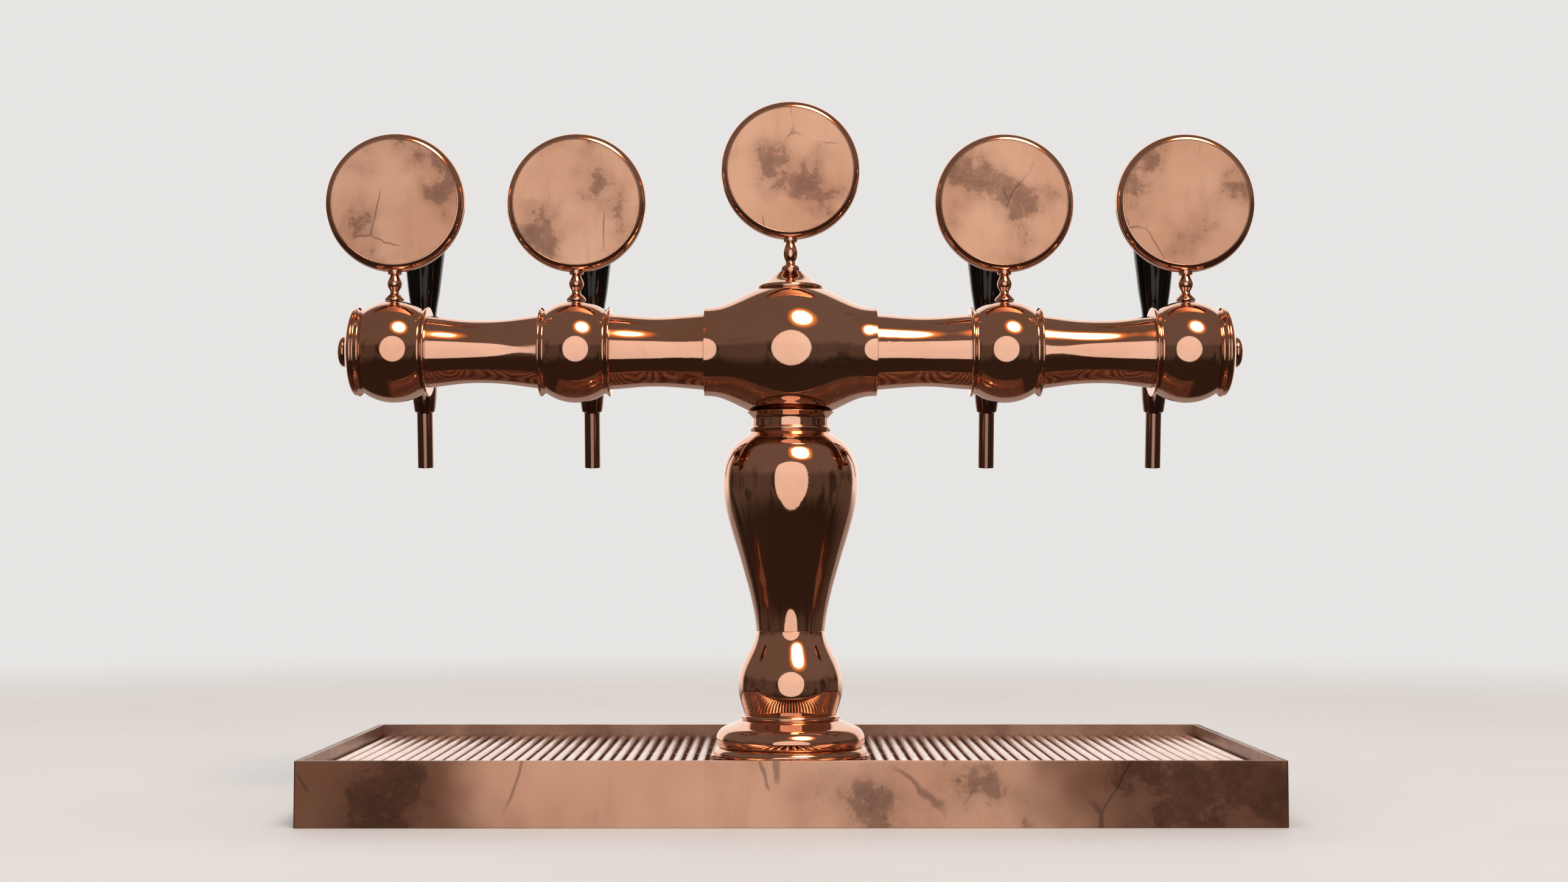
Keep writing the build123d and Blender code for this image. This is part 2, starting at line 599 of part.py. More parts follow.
for number, (x, z) in enumerate(MEDALLION_CENTRES, start=1):
    cup_blank = turned(
        (x, COLUMN_Y, z),
        REAR,
        [(MEDALLION_FRONT, face_seat), (-7.5, 49.4), (-6.4, 50.9), (-4.6, 52.2), (-2.0, 53.1),
         (0.5, MEDALLION_RADIUS), (2.6, 52.7), (5.0, 51.0), (6.4, 49.2), (MEDALLION_BACK, 46.8)],
        ((MEDALLION_BACK, 46.8), (MEDALLION_BACK, 0.0), (4.6, 0.0), (4.6, 44.5),
         (face_back, 44.5), (face_back, face_seat), (MEDALLION_FRONT, face_seat)),
    )
    rim_bottom = z - MEDALLION_RADIUS
    with BuildPart() as medallion_cup:
        add(cup_blank.part)
        with BuildSketch(Plane.XY.offset(rim_bottom - 1.0)):
            with Locations((x, COLUMN_Y)):
                Circle(STEM_COLLAR_RADIUS + FIT)
        extrude(amount=STEM_COLLAR_DEPTH + 1.0, mode=Mode.SUBTRACT)
        with BuildSketch(Plane.XY.offset(rim_bottom)):
            with Locations((x, COLUMN_Y)):
                Circle(MEDALLION_STUD_RADIUS + FIT)
        extrude(amount=12.0, mode=Mode.SUBTRACT)
    save(medallion_cup, f"medallion_cup_{number}")

with BuildPart() as medallion_faces:
    with BuildSketch(Plane.XZ.offset(-COLUMN_Y - face_back)):
        with Locations(MEDALLION_CENTRES):
            Circle(FACE_RADIUS)
    extrude(amount=FACE_THICKNESS)
save(medallion_faces, "medallion_faces")

# Baluster stems: four on the balls and one on the hub's cap, each one turned piece.
STEM_NECK_RADIUS = 3.3


def stem(x, foot, lower_stud, neck, belly, medallion_z):
    """A turned stem from its lower stud up to the stud in the medallion's rim."""
    stud_bottom, stud_radius = lower_stud
    collar_top = medallion_z - MEDALLION_RADIUS + STEM_COLLAR_DEPTH
    collar_bottom = collar_top - 4.0
    upper_neck = collar_bottom - 0.8
    return turned(
        (x, COLUMN_Y, 0),
        UP,
        ((stud_bottom, 0.0), (stud_bottom, stud_radius), (foot[0][0], stud_radius), foot[0]),
        foot,
        [foot[-1], (foot[-1][0] + 1.3, neck[1] + 0.5), neck, (neck[0] + 2.2, neck[1] + 0.9), belly,
         (upper_neck - 2.4, STEM_NECK_RADIUS + 1.1), (upper_neck, STEM_NECK_RADIUS)],
        ((upper_neck, STEM_NECK_RADIUS), (collar_bottom, STEM_COLLAR_RADIUS - 0.5)),
        ((collar_bottom, STEM_COLLAR_RADIUS - 0.5), (collar_bottom + 0.5, STEM_COLLAR_RADIUS),
         (collar_top, STEM_COLLAR_RADIUS), (collar_top, MEDALLION_STUD_RADIUS),
         (collar_top + 7.0, MEDALLION_STUD_RADIUS), (collar_top + 7.0, 0.0), (stud_bottom, 0.0)),
    )


ball_top = BAR_Z + BALL_RADIUS
with BuildPart() as medallion_stems:
    for x in BALL_X:
        side_stem = stem(
            x,
            [(ball_top + 0.2, 7.3), (ball_top + 1.0, 7.5), (ball_top + 2.2, 7.0),
             (ball_top + 4.2, 5.2)],
            (ball_top - 6.5, STUD_RADIUS),
            (391.8, 3.4),
            (398.0, 5.7),
            SIDE_MEDALLION_Z,
        )
        add(side_stem.part)
    centre_stem = stem(
        0.0,
        [(CAP_TOP, 6.8), (408.6, 7.1), (410.6, 6.9), (412.0, 5.6)],
        (393.0, CENTRE_STUD_RADIUS),
        (414.8, 3.7),
        (422.5, 5.5),
        CENTRE_MEDALLION_Z,
    )
    add(centre_stem.part)
save(medallion_stems, "medallion_stems")

# ================================================================ taps
LEVER_Y = COLUMN_Y + TAP_REACH
LEVER_Z = 362.0  # centre of the lever's ball
LEVER_BALL = 7.8
SOCKET = 8.1
NECK_RADIUS = 2.5
FINGER_RADIUS = 2.2
FINGER_LENGTH = 12.8
FERRULE_RADIUS = 6.0
FERRULE_BOTTOM = LEVER_Z + 13.3
FERRULE_TOP = LEVER_Z + 17.0
HANDLE_STUD_RADIUS = 4.0
HANDLE_STUD_TOP = 397.0
BONNET_TOP = LEVER_Z + 8.0
BONNET_RADIUS = 12.0

SHANK_BORE = 4.2
SHANK_END = 36.0
SHANK_THREAD_RADIUS = 12.5
SHANK_FLANGE_RADIUS = 15.0
NUT_START = 26.0
NUT_END = 43.0
NUT_RADIUS = 16.0

BARREL_RADIUS = 11.5
BARREL_BORE = 7.3
BARREL_END = 99.0
BARREL_BORE_END = 92.5
BODY_FLANGE_END = 40.0
BODY_NECK_RADIUS = 11.0
SPOUT_Y = 86.0
STUB_RADIUS = 7.5
STUB_LENGTH = 24.0
SHOULDER_RADIUS = 10.3
SHOULDER_LENGTH = 14.0
SPOUT_BORE = 5.2
SPOUT_RADIUS = 6.5
SPOUT_LENGTH = 83.0
DISC_RADIUS = 6.5
DISC_THICKNESS = 3.0
SPOOL_HALF_GAP = 3.4
VALVE_START = 44.0
VALVE_LENGTH = 4.0
spout_direction = (0, sin(radians(SPOUT_TILT)), -cos(radians(SPOUT_TILT)))

# Threaded shanks, from inside the bar to the taps, and the nuts at either end.
with BuildPart() as tap_shanks:
    for x in BALL_X:
        shank = turned(
            (x, 0, BAR_Z),
            REAR,
            ((SHANK_TAIL_Y, SHANK_BORE), (SHANK_TAIL_Y, SHANK_RADIUS), (BOSS_REAR, SHANK_RADIUS),
             (BOSS_REAR, SHANK_FLANGE_RADIUS), (BOSS_REAR + 4.0, SHANK_FLANGE_RADIUS),
             (BOSS_REAR + 4.0, SHANK_RADIUS), (NUT_START - 4.0, SHANK_RADIUS),
             (NUT_START - 4.0, SHANK_THREAD_RADIUS), (SHANK_END, SHANK_THREAD_RADIUS),
             (SHANK_END, SHANK_BORE), (SHANK_TAIL_Y, SHANK_BORE)),
        )
        add(shank.part)
save(tap_shanks, "tap_shanks")

LOCKNUT_HEIGHT = 5.0
with BuildPart() as shank_locknuts:
    with BuildSketch(Plane.XZ.offset(-BOSS_FRONT)):
        with Locations([(x, BAR_Z) for x in BALL_X]):
            RegularPolygon(12.0, 6, major_radius=False)
            Circle(SHANK_RADIUS + FIT, mode=Mode.SUBTRACT)
    extrude(amount=LOCKNUT_HEIGHT)
save(shank_locknuts, "shank_locknuts")

thread_fit = SHANK_THREAD_RADIUS + FIT
lip_fit = BARREL_RADIUS + FIT
with BuildPart() as coupling_nuts:
    for x in BALL_X:
        nut = turned(
            (x, 0, BAR_Z),
            REAR,
            ((NUT_START, thread_fit), (NUT_START, NUT_RADIUS - 1.0), (NUT_START + 1.0, NUT_RADIUS),
             (NUT_END - 1.0, NUT_RADIUS), (NUT_END, NUT_RADIUS - 1.0), (NUT_END, lip_fit),
             (BODY_FLANGE_END + FIT, lip_fit), (BODY_FLANGE_END + FIT, thread_fit),
             (NUT_START, thread_fit)),
        )
        add(nut.part)
        for turn in range(4):
            spanner_angle = radians(45 + 90 * turn)
            outward = (sin(spanner_angle), 0, cos(spanner_angle))
            rim_point = Vector(x, (NUT_START + NUT_END) / 2, BAR_Z) + Vector(outward) * 14.0
            with BuildSketch(Plane(origin=rim_point, z_dir=outward)):
                Circle(2.0)
            extrude(amount=4.0, mode=Mode.SUBTRACT)
save(coupling_nuts, "coupling_nuts")

for number, x in enumerate(BALL_X, start=1):
    barrel = turned(
        (x, 0, BAR_Z),
        REAR,
        ((SHANK_END, 0.0), (SHANK_END, SHANK_THREAD_RADIUS),
         (BODY_FLANGE_END, SHANK_THREAD_RADIUS), (BODY_FLANGE_END, BARREL_RADIUS),
         (BARREL_END - 5.0, BARREL_RADIUS)),
        [(BARREL_END - 5.0, BARREL_RADIUS), (BARREL_END - 2.2, 10.4), (BARREL_END - 0.6, 7.0),
         (BARREL_END, 0.0)],
        ((BARREL_END, 0.0), (SHANK_END, 0.0)),
    )
    stub = turned(
        (x, SPOUT_Y, BAR_Z),
        spout_direction,
        ((0.0, 0.0), (0.0, SHOULDER_RADIUS), (SHOULDER_LENGTH, SHOULDER_RADIUS),
         (SHOULDER_LENGTH, STUB_RADIUS), (STUB_LENGTH, STUB_RADIUS), (STUB_LENGTH, 0.0),
         (0.0, 0.0)),
    )
    bore = turned(
        (x, 0, BAR_Z),
        REAR,
        ((SHANK_END, 0.0), (SHANK_END, BARREL_BORE), (BARREL_BORE_END, BARREL_BORE),
         (BARREL_BORE_END, 0.0), (SHANK_END, 0.0)),
    )
    outlet = turned(
        (x, SPOUT_Y, BAR_Z),
        spout_direction,
        ((0.0, 0.0), (0.0, SPOUT_BORE), (STUB_LENGTH, SPOUT_BORE), (STUB_LENGTH, 0.0), (0.0, 0.0)),
    )
    with BuildPart() as tap_body:
        add(barrel.part)
        add(stub.part)
        with BuildSketch(Plane.XY.offset(BAR_Z)):
            with Locations((x, LEVER_Y)):
                Circle(BODY_NECK_RADIUS)
        extrude(amount=LEVER_Z - BAR_Z)
        add(bore.part, mode=Mode.SUBTRACT)
        add(outlet.part, mode=Mode.SUBTRACT)
        with Locations((x, LEVER_Y, LEVER_Z)):
            Sphere(SOCKET, mode=Mode.SUBTRACT)
        with BuildSketch(Plane.XY.offset(BAR_Z + 5.0)):
            with Locations((x, LEVER_Y - 2.75)):
                Rectangle(5.4, 10.9)
        extrude(amount=6.5, mode=Mode.SUBTRACT)
    save(tap_body, f"tap_body_{number}")

with BuildPart() as tap_spouts:
    for x in BALL_X:
        spout = turned(
            (x, SPOUT_Y, BAR_Z),
            spout_direction,
            ((SHOULDER_LENGTH, STUB_RADIUS + FIT), (SHOULDER_LENGTH, SHOULDER_RADIUS)),
            [(SHOULDER_LENGTH, SHOULDER_RADIUS), (22.0, 10.1), (30.0, 9.3), (36.0, 8.4)],
            ((36.0, 8.4), (37.4, SPOUT_RADIUS), (SPOUT_LENGTH, SPOUT_RADIUS),
             (SPOUT_LENGTH, SPOUT_BORE), (STUB_LENGTH + 0.2, SPOUT_BORE),
             (STUB_LENGTH + 0.2, STUB_RADIUS + FIT), (SHOULDER_LENGTH, STUB_RADIUS + FIT)),
        )
        add(spout.part)
save(tap_spouts, "tap_spouts")

# Bonnets: the upper half of each lever's socket, with a conical mouth for the lever's swing.
socket_points = [(LEVER_Z + s, r) for s, r in arc_points(SOCKET, 0.0, 5.2, 6)]
with BuildPart() as tap_bonnets:
    for x in BALL_X:
        bonnet = turned(
            (x, LEVER_Y, 0),
            UP,
            socket_points,
            (socket_points[-1], (BONNET_TOP, 7.9), (BONNET_TOP, BONNET_RADIUS - 0.8),
             (BONNET_TOP - 0.8, BONNET_RADIUS), (LEVER_Z, BONNET_RADIUS), socket_points[0]),
        )
        add(bonnet.part)
save(tap_bonnets, "tap_bonnets")

finger_tip = LEVER_Z - FINGER_LENGTH
ball_low = -sqrt(LEVER_BALL**2 - FINGER_RADIUS**2)
ball_high = sqrt(LEVER_BALL**2 - NECK_RADIUS**2)
ball_points = [(LEVER_Z + s, r) for s, r in arc_points(LEVER_BALL, ball_low, ball_high, 14)]
tip_arc = arc_points(FINGER_RADIUS, -FINGER_RADIUS, 0.0, 6)
tip_points = [(finger_tip + FINGER_RADIUS + s, r) for s, r in tip_arc]
handle_points = [(379.2, 8.0), (380.6, 8.8), (388.7, 10.2), (405.0, 12.5), (425.0, 14.9),
                 (444.0, 17.0), (456.0, 18.2), (463.0, 18.5), (467.5, 16.6), (470.0, 11.5),
                 (471.0, 5.0), (471.1, 0.0)]
for number, x in enumerate(BALL_X, start=1):
    lever = turned(
        (x, LEVER_Y, 0),
        UP,
        tip_points,
        (tip_points[-1], ball_points[0]),
        ball_points,
        (ball_points[-1], (FERRULE_BOTTOM, NECK_RADIUS), (FERRULE_BOTTOM, FERRULE_RADIUS),
         (FERRULE_TOP, FERRULE_RADIUS), (FERRULE_TOP, HANDLE_STUD_RADIUS),
         (HANDLE_STUD_TOP, HANDLE_STUD_RADIUS), (HANDLE_STUD_TOP, 0.0), (finger_tip, 0.0)),
    )
    save(lever, f"tap_lever_{number}")

    handle = turned(
        (x, LEVER_Y, 0),
        UP,
        ((379.2, HANDLE_STUD_RADIUS + FIT), handle_points[0]),
        handle_points,
        ((471.1, 0.0), (398.0, 0.0), (398.0, HANDLE_STUD_RADIUS + FIT),
         (379.2, HANDLE_STUD_RADIUS + FIT)),
    )
    save(handle, f"tap_handle_{number}")

    plunger = turned(
        (x, 0, BAR_Z),
        REAR,
        ((VALVE_START, 0.0), (VALVE_START, DISC_RADIUS), (VALVE_START + VALVE_LENGTH, DISC_RADIUS),
         (VALVE_START + VALVE_LENGTH, 2.5), (LEVER_Y - SPOOL_HALF_GAP - DISC_THICKNESS, 2.5),
         (LEVER_Y - SPOOL_HALF_GAP - DISC_THICKNESS, DISC_RADIUS),
         (LEVER_Y - SPOOL_HALF_GAP, DISC_RADIUS), (LEVER_Y - SPOOL_HALF_GAP, 2.5),
         (LEVER_Y + SPOOL_HALF_GAP, 2.5), (LEVER_Y + SPOOL_HALF_GAP, DISC_RADIUS),
         (LEVER_Y + SPOOL_HALF_GAP + DISC_THICKNESS, DISC_RADIUS),
         (LEVER_Y + SPOOL_HALF_GAP + DISC_THICKNESS, 0.0), (VALVE_START, 0.0)),
    )
    save(plunger, f"tap_plunger_{number}")

# ================================================================ beer lines
LINE_RADIUS = 4.0
LINE_BORE = 2.75
LINE_TAIL_Z = 62.0
LINE_OFFSET = 7.0
# Each tap's line: sideways place in the column, fore-and-aft place, and height along the bar.
LINE_ROUTES = (
    (-LINE_OFFSET, COLUMN_Y - LINE_OFFSET, BAR_Z - 7.5),
    (-LINE_OFFSET, COLUMN_Y + LINE_OFFSET, BAR_Z + 5.0),
    (LINE_OFFSET, COLUMN_Y + LINE_OFFSET, BAR_Z + 5.0),
    (LINE_OFFSET, COLUMN_Y - LINE_OFFSET, BAR_Z - 7.5),
)
with BuildPart() as beer_lines:
    for x, (start_x, start_y, run_z) in zip(BALL_X, LINE_ROUTES):
        side = 1 if x > 0 else -1
        with BuildLine() as route:
            rise = Line((start_x, start_y, LINE_TAIL_Z), (start_x, start_y, 300.0))
            turn = Spline(
                rise @ 1,
                (side * 52.0, COLUMN_Y - 5.0, run_z),
                tangents=((0, 0, 1), (side, 0, 0)),
            )
            run = Line(turn @ 1, (x - side * 12.0, COLUMN_Y - 5.0, run_z))
            Spline(run @ 1, (x, SHANK_TAIL_Y, BAR_Z), tangents=((side, 0, 0), (0, 1, 0)))
        with BuildSketch(Plane(origin=(start_x, start_y, LINE_TAIL_Z))):
            Circle(LINE_RADIUS)
            Circle(LINE_BORE, mode=Mode.SUBTRACT)
        sweep(path=route.line)
save(beer_lines, "beer_lines")
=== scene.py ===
import json
import math

import bpy
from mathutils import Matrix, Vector

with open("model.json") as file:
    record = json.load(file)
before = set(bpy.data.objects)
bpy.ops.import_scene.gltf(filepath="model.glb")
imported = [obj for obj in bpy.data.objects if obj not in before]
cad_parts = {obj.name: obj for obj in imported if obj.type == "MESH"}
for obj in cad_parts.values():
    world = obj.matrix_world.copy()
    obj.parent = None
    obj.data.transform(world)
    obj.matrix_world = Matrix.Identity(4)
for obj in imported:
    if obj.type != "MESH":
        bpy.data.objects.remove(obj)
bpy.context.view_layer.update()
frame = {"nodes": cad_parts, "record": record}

nodes = frame["nodes"]

# ---------------------------------------------------------------- node helpers
class Tree:
    """A small wrapper for building a node tree; place is what its textures read."""

    def __init__(self, node_tree, place):
        self.nodes = node_tree.nodes
        self.links = node_tree.links
        self.place = self.nodes.new("ShaderNodeTexCoord").outputs[place]

    def put(self, socket, value):
        """Links a socket, or sets it where the value is a constant."""
        if isinstance(value, bpy.types.NodeSocket):
            self.links.new(value, socket)
        else:
            socket.default_value = value

    def stretched(self, scale=(1, 1, 1), offset=(0, 0, 0), source=None):
        node = self.nodes.new("ShaderNodeMapping")
        self.put(node.inputs["Vector"], source or self.place)
        node.inputs["Scale"].default_value = scale
        node.inputs["Location"].default_value = offset
        return node.outputs[0]

    def noise(self, scale, detail=5.0, roughness=0.55, distortion=0.0, vector=None):
        node = self.nodes.new("ShaderNodeTexNoise")
        self.put(node.inputs["Vector"], vector or self.place)
        node.inputs["Scale"].default_value = scale
        node.inputs["Detail"].default_value = detail
        node.inputs["Roughness"].default_value = roughness
        node.inputs["Distortion"].default_value = distortion
        return node.outputs["Fac"]

    def cell_edges(self, scale, vector):
        """The distance to the nearest edge between irregular cells."""
        node = self.nodes.new("ShaderNodeTexVoronoi")
        node.feature = "DISTANCE_TO_EDGE"
        self.put(node.inputs["Vector"], vector)
        node.inputs["Scale"].default_value = scale
        return node.outputs["Distance"]

    def warped(self, amount, scale, vector):
        """A place shifted by noise, to break up straight patterns."""
        colour = self.nodes.new("ShaderNodeTexNoise")
        self.put(colour.inputs["Vector"], vector)
        colour.inputs["Scale"].default_value = scale
        colour.inputs["Detail"].default_value = 3.0
        shift = self.nodes.new("ShaderNodeVectorMath")
        shift.operation = "SCALE"
        self.links.new(colour.outputs["Color"], shift.inputs[0])
        shift.inputs["Scale"].default_value = amount
        added = self.nodes.new("ShaderNodeVectorMath")
        self.put(added.inputs[0], vector)
        self.links.new(shift.outputs[0], added.inputs[1])
        return added.outputs[0]

    def band(self, value, low, high, to_low=0.0, to_high=1.0):
        """Goes smoothly from to_low to to_high while the value goes from low to high."""
        node = self.nodes.new("ShaderNodeMapRange")
        node.interpolation_type = "SMOOTHSTEP"
        self.put(node.inputs["Value"], value)
        node.inputs["From Min"].default_value = low
        node.inputs["From Max"].default_value = high
        node.inputs["To Min"].default_value = to_low
        node.inputs["To Max"].default_value = to_high
        return node.outputs["Result"]

    def split(self, vector):
        node = self.nodes.new("ShaderNodeSeparateXYZ")
        self.links.new(vector, node.inputs[0])
        return node.outputs

    def along(self, vector, direction):
        """How far a vector points along a direction."""
        node = self.nodes.new("ShaderNodeVectorMath")
        node.operation = "DOT_PRODUCT"
        self.links.new(vector, node.inputs[0])
        node.inputs[1].default_value = direction
        return node.outputs["Value"]

    def math(self, operation, a, b=0.0, clamp=False):
        node = self.nodes.new("ShaderNodeMath")
        node.operation = operation
        node.use_clamp = clamp
        self.put(node.inputs[0], a)
        self.put(node.inputs[1], b)
        return node.outputs[0]

    def mix(self, factor, a, b, blend="MIX"):
        node = self.nodes.new("ShaderNodeMix")
        node.data_type = "RGBA"
        node.blend_type = blend
        self.put(node.inputs[0], factor)
        self.put(node.inputs[6], a)
        self.put(node.inputs[7], b)
        return node.outputs[2]

    def bump(self, height, distance, strength, normal):
        node = self.nodes.new("ShaderNodeBump")
        node.inputs["Strength"].default_value = strength
        node.inputs["Distance"].default_value = distance
        self.put(node.inputs["Height"], height)
        self.links.new(normal, node.inputs["Normal"])
        return node.outputs[0]

    def rounded(self, radius):
        node = self.nodes.new("ShaderNodeBevel")
        node.samples = 4
        node.inputs["Radius"].default_value = radius
        return node.outputs[0]

    def hollows(self, distance):
        """Near 1 in crevices and 0 on open surfaces."""
        node = self.nodes.new("ShaderNodeAmbientOcclusion")
        node.samples = 4
        node.only_local = False
        node.inputs["Distance"].default_value = distance
        return self.math("SUBTRACT", 1.0, node.outputs["AO"], clamp=True)


class Finish(Tree):
    """One surface material, with a principled shader to fill in."""

    def __init__(self, name):
        self.material = bpy.data.materials.new(name)
        self.material.use_nodes = True
        self.material.node_tree.nodes.clear()
        super().__init__(self.material.node_tree, "Object")
        out = self.nodes.new("ShaderNodeOutputMaterial")
        self.shader = self.nodes.new("ShaderNodeBsdfPrincipled")
        self.links.new(self.shader.outputs[0], out.inputs["Surface"])


def rgb(r, g, b):
    """An sRGB colour of 0 to 255, as Blender's linear colour."""
    def linear(c):
        c /= 255
        return c / 12.92 if c <= 0.04045 else ((c + 0.055) / 1.055) ** 2.4
    return (linear(r), linear(g), linear(b), 1.0)


# ---------------------------------------------------------------- materials
def polished_copper(name, seed, dullness=0.0, shade=1.0):
    """Polished copper plate: uneven tone, smudges, hairline scratches, and painted shade that darkens
    the crevices.
    """
    t = Finish(name)
    here = t.stretched(offset=(seed * 1.7, seed * 0.9, seed * 2.3))
    tone = t.noise(9.0, 4.0, 0.5, 0.4, here)
    colour = t.mix(t.band(tone, 0.35, 0.68), rgb(230, 174, 146), rgb(240, 190, 164))
    smudge = t.band(t.noise(30.0, 6.0, 0.62, 0.6, here), 0.52, 0.74)
    colour = t.mix(t.math("MULTIPLY", smudge, 0.3), colour, rgb(206, 146, 118))
    # Painted shade: the colour darkens to deep brown in crevices found by ambient occlusion; the same
    # mask also makes the surface rougher there.
    crevice = t.band(t.hollows(0.007), 0.38, 0.85)
    crevice_breakup = t.band(t.noise(160.0, 4.0, 0.6, 0.0, here), 0.3, 0.7, 0.45, 1.0)
    crevice_shade_and_grime = t.math("MULTIPLY", crevice, crevice_breakup)
    colour = t.mix(t.math("MULTIPLY", crevice_shade_and_grime, 0.7), colour, rgb(92, 52, 38))
    # Painted shade: the whole colour is multiplied by the shade factor, giving darker shaded copies of
    # the copper.
    colour = t.mix(1.0, colour, (shade, shade, shade, 1), "MULTIPLY")
    t.put(t.shader.inputs["Base Color"], colour)
    t.shader.inputs["Metallic"].default_value = 1.0
    fine = t.noise(420.0, 3.0, 0.6, 0.0, here)
    rough = t.math("ADD", t.band(smudge, 0.0, 1.0, 0.045 + dullness, 0.10 + dullness),
                   t.math("MULTIPLY", fine, 0.02))
    rough = t.math("ADD", rough, t.math("MULTIPLY", crevice_shade_and_grime, 0.3))
    t.put(t.shader.inputs["Roughness"], rough)
    ripple = t.noise(38.0, 2.0, 0.4, 0.2, here)
    scratches = t.noise(900.0, 2.0, 0.5, 0.0, t.stretched((0.12, 1.0, 0.35), source=here))
    height = t.math("ADD", ripple, t.math("MULTIPLY", t.band(scratches, 0.62, 0.8), 0.04))
    t.put(t.shader.inputs["Normal"], t.bump(height, 0.00016, 0.5, t.rounded(0.0006)))
    return t.material


def stained_copper(name, seed, cloud_scale, rounding=0.0005, shaded_ends=None):
    """Matte aged copper: pale ground, soft grey-brown clouds with crinkled edges, specks and veins."""
    t = Finish(name)
    here = t.stretched(offset=(seed * 3.1, seed * 1.3, seed * 2.9))
    there = t.stretched(offset=(5.0, 2.0, 8.0), source=here)
    ground = t.mix(t.band(t.noise(cloud_scale * 0.7, 4.0, 0.55, 0.2, here), 0.3, 0.7),
                   rgb(214, 162, 134), rgb(230, 182, 154))
    upright = t.stretched((1.0, 1.0, 0.22), source=there)
    streaks = t.noise(cloud_scale * 3.0, 5.0, 0.6, 0.3, upright)
    ground = t.mix(t.band(streaks, 0.5, 0.72, 0.0, 0.35), ground, rgb(196, 146, 122))

    region = t.noise(cloud_scale, 2.0, 0.5, 0.1, here)
    crinkle = t.noise(cloud_scale * 2.6, 12.0, 0.72, 0.15, there)
    wander = t.math("MULTIPLY", t.math("SUBTRACT", crinkle, 0.5), 0.55)
    haze = t.math("MULTIPLY", t.band(region, 0.47, 0.66), t.band(crinkle, 0.34, 0.62, 0.35, 1.0))
    core = t.band(t.math("ADD", region, wander), 0.595, 0.635)
    stain = t.math("ADD", t.math("MULTIPLY", haze, 0.42), t.math("MULTIPLY", core, 0.26))
    colour = t.mix(stain, ground, rgb(120, 92, 84))

    mottle = t.noise(cloud_scale * 16.0, 4.0, 0.7, 0.2, here)
    near_stain = t.band(region, 0.46, 0.60)
    specks = t.math("MULTIPLY", t.band(mottle, 0.58, 0.66), near_stain)
    colour = t.mix(t.math("MULTIPLY", specks, 0.34), colour, rgb(116, 88, 78))
    flecks = t.math("MULTIPLY", t.band(mottle, 0.42, 0.34), near_stain)
    colour = t.mix(t.math("MULTIPLY", flecks, 0.4), colour, rgb(226, 180, 154))

    uneven = t.warped(0.016, 30.0, t.stretched((1.0, 1.0, 0.6), source=there))
    cracks = t.cell_edges(cloud_scale * 0.75, uneven)
    vein_mask = t.band(t.noise(cloud_scale * 1.1, 1.0, 0.5, 0.0, there), 0.53, 0.60)
    vein = t.math("MULTIPLY", t.band(cracks, 0.002, 0.011, 1.0, 0.0), vein_mask)
    colour = t.mix(t.math("MULTIPLY", vein, 0.55), colour, rgb(104, 78, 68))

    # Painted shade: the colour darkens towards both ends of the tray front, standing in for the
    # reflection falling off there.
    if shaded_ends is not None:
        start, full = shaded_ends
        sideways = t.math("ABSOLUTE", t.split(t.place)[0])
        wander = t.math("MULTIPLY", t.math("SUBTRACT", t.noise(7.0, 3.0, 0.5), 0.5), 0.25)
        end_shade = t.band(t.math("ADD", sideways, wander), start, full)
        end_shaded_colour = t.mix(1.0, colour, rgb(122, 98, 86), "MULTIPLY")
        colour = t.mix(t.math("MULTIPLY", end_shade, 0.85), colour, end_shaded_colour)
    t.put(t.shader.inputs["Base Color"], colour)
    t.shader.inputs["Metallic"].default_value = 0.9
    rough = t.math("ADD", t.band(region, 0.3, 0.7, 0.34, 0.42), t.math("MULTIPLY", stain, 0.12))
    t.put(t.shader.inputs["Roughness"], rough)
    height = t.math("SUBTRACT", t.math("MULTIPLY", mottle, 0.2), t.math("MULTIPLY", vein, 0.7))
    height = t.math("SUBTRACT", height, t.math("MULTIPLY", stain, 0.5))
    t.put(t.shader.inputs["Normal"], t.bump(height, 0.00018, 0.5, t.rounded(rounding)))
    return t.material


ACROSS = (0.03, 1.0, 1.0)
FRONT_TO_BACK = (1.0, 0.03, 1.0)
UPRIGHT = (1.0, 1.0, 0.05)


def satin_metal(name, dark, light, rough_low, rough_high, grain=FRONT_TO_BACK):
    """Drawn or brushed metal with grain along one direction."""
    t = Finish(name)
    here = t.stretched(offset=(1.0, 0.5, 2.0))
    lines = t.noise(1500.0, 3.0, 0.6, 0.0, t.stretched(grain, source=here))
    tone = t.noise(18.0, 4.0, 0.55, 0.3, here)
    colour = t.mix(t.band(tone, 0.35, 0.68), dark, light)
    # Painted shade: the colour darkens in crevices found by ambient occlusion.
    crevice = t.band(t.hollows(0.005), 0.4, 0.9)
    shade = tuple(c * 0.3 for c in dark[:3]) + (1.0,)
    colour = t.mix(t.math("MULTIPLY", crevice, 0.5), colour, shade)
    t.put(t.shader.inputs["Base Color"], colour)
    t.shader.inputs["Metallic"].default_value = 1.0
    t.put(t.shader.inputs["Roughness"], t.band(lines, 0.3, 0.7, rough_low, rough_high))
    t.put(t.shader.inputs["Normal"], t.bump(lines, 0.00004, 0.35, t.rounded(0.0004)))
    return t.material


def gloss_black(name):
    """Turned and lacquered black handle, with faint orange peel and a few wiping marks."""
    t = Finish(name)
    marks = t.band(t.noise(60.0, 5.0, 0.6, 0.8), 0.5, 0.75)
    t.put(t.shader.inputs["Base Color"], t.mix(marks, rgb(7, 6, 6), rgb(15, 13, 12)))
    t.put(t.shader.inputs["Roughness"], t.band(marks, 0.0, 1.0, 0.07, 0.16))
    t.put(t.shader.inputs["Normal"], t.bump(t.noise(240.0, 2.0), 0.00005, 0.3, t.rounded(0.0006)))
    t.shader.inputs["Specular IOR Level"].default_value = 0.42
    return t.material


